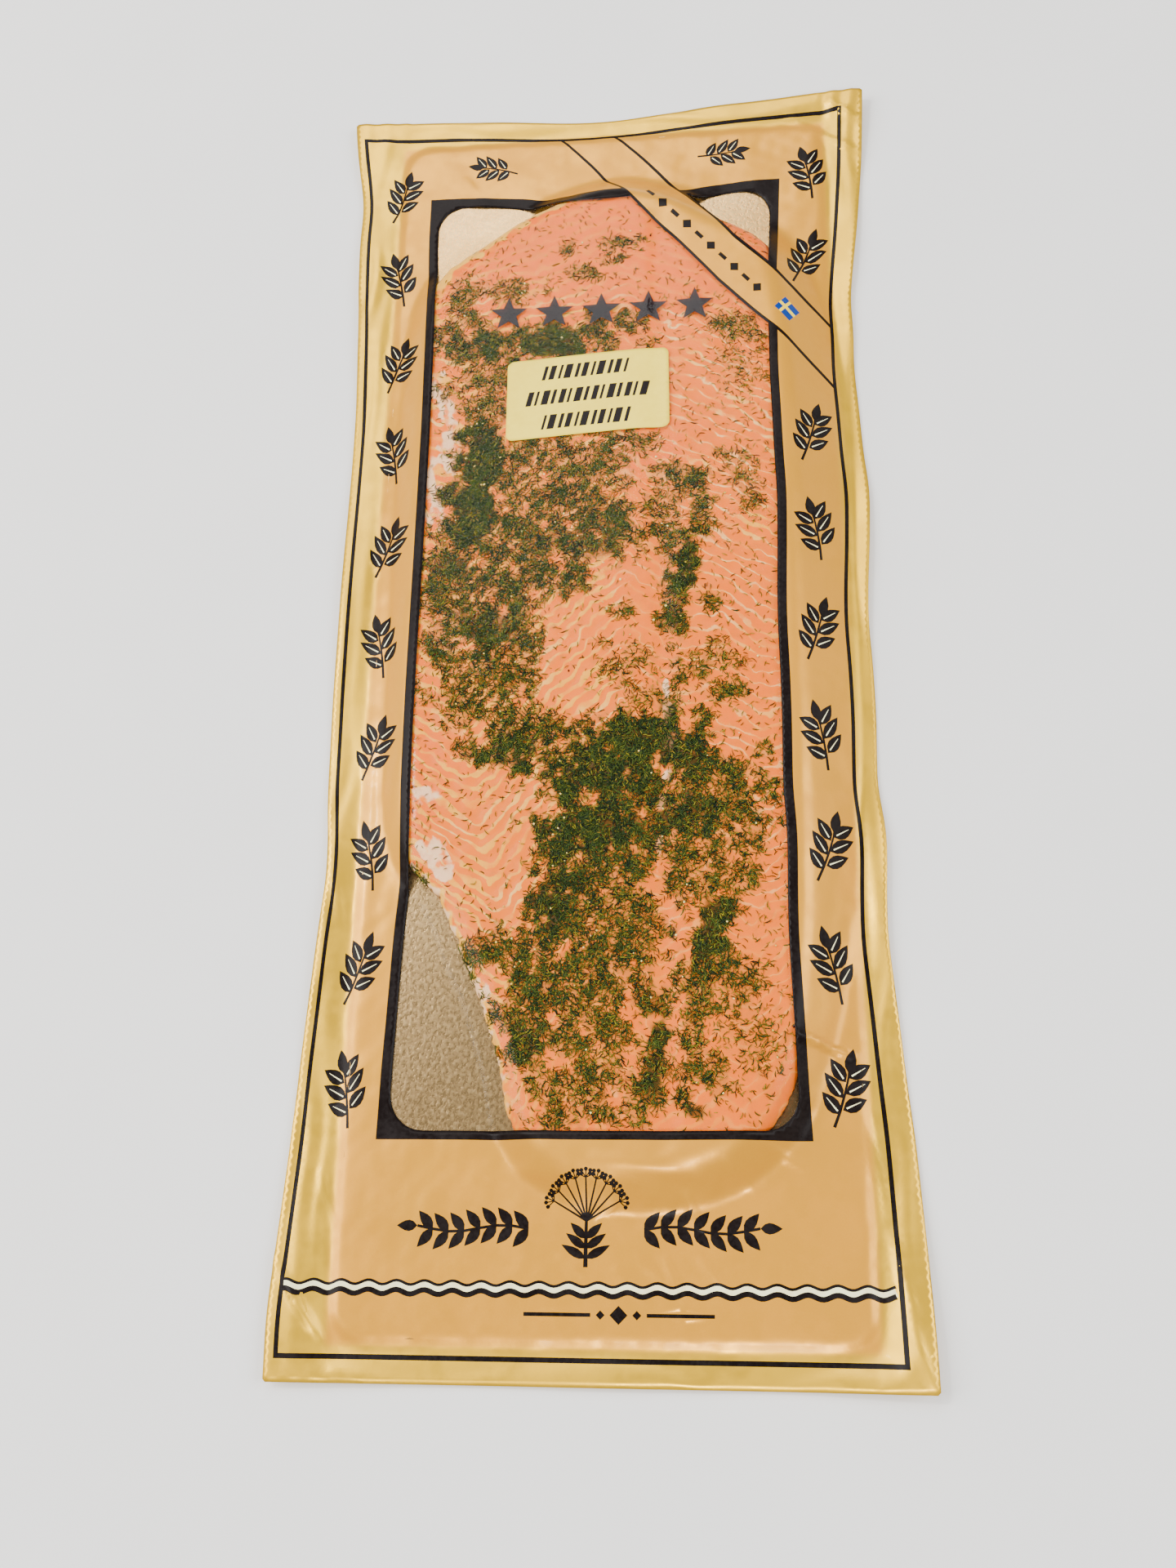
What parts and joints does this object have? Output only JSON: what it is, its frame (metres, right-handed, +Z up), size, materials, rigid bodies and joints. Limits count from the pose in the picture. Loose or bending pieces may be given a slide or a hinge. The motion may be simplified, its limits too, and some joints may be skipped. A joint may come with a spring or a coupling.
{
  "type": "vacuum-packed gravlax side",
  "caption": "Flat vacuum pouch holding a dill-covered side of gravlax on a foil-faced board, with a printed gold front film, a clear window and a paper label.",
  "frame": {"origin": "on the ground under the middle of the pouch as it lies on its back film", "axes": "+X to the right of the shown face, +Y along the pouch towards the neck end of the fish, +Z up out of the shown face"},
  "size_m": [0.2398, 0.56, 0.0218],
  "materials": {
    "back_film": "plain gold film, satin",
    "board": "foil-faced card, warm silver, orange-peel sheen",
    "fish": "cured salmon flesh with pale stripes and dark green dill, wet",
    "front_film": "gold printed film with dark ornament, satin sheen",
    "window": "clear film, glossy",
    "label": "pale yellow paper"
  },
  "bodies": {
    "root": {"back_film": "back_film", "board": "board", "gravlax_side": "fish", "front_film": "front_film", "window_film": "window", "label": "label"}
  },
  "joints": []
}
